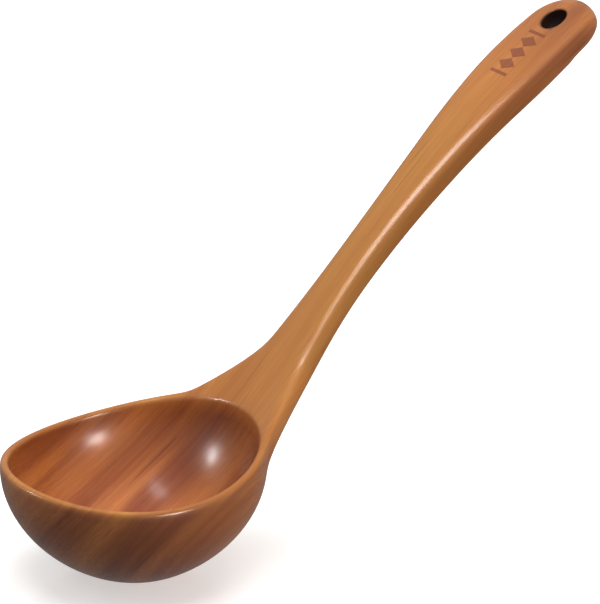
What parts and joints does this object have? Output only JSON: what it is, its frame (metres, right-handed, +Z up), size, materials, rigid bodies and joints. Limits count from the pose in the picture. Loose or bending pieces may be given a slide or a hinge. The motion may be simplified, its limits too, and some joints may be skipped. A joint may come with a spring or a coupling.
{
  "type": "wooden soup ladle",
  "caption": "One-piece carved wooden soup ladle: a near-hemispherical bowl, an upswept flaring handle, a hanging hole and a small let-in mark.",
  "frame": {"origin": "centre of the small flat under the bowl", "axes": "+Z up with the rim about level, +X from the bowl towards the handle's end, Y across, so XZ is the plane of symmetry"},
  "size_m": [0.2204, 0.0886, 0.1739],
  "materials": {
    "wood": "clear satin lacquer over orange-brown hardwood",
    "mark_wood": "dark reddish-brown wood under the same clear lacquer"
  },
  "bodies": {
    "root": {"ladle_body": "wood", "mark_lozenge_1": "mark_wood", "mark_lozenge_2": "mark_wood", "mark_lozenge_3": "mark_wood", "mark_bar_upper": "mark_wood", "mark_bar_lower": "mark_wood"}
  },
  "joints": []
}
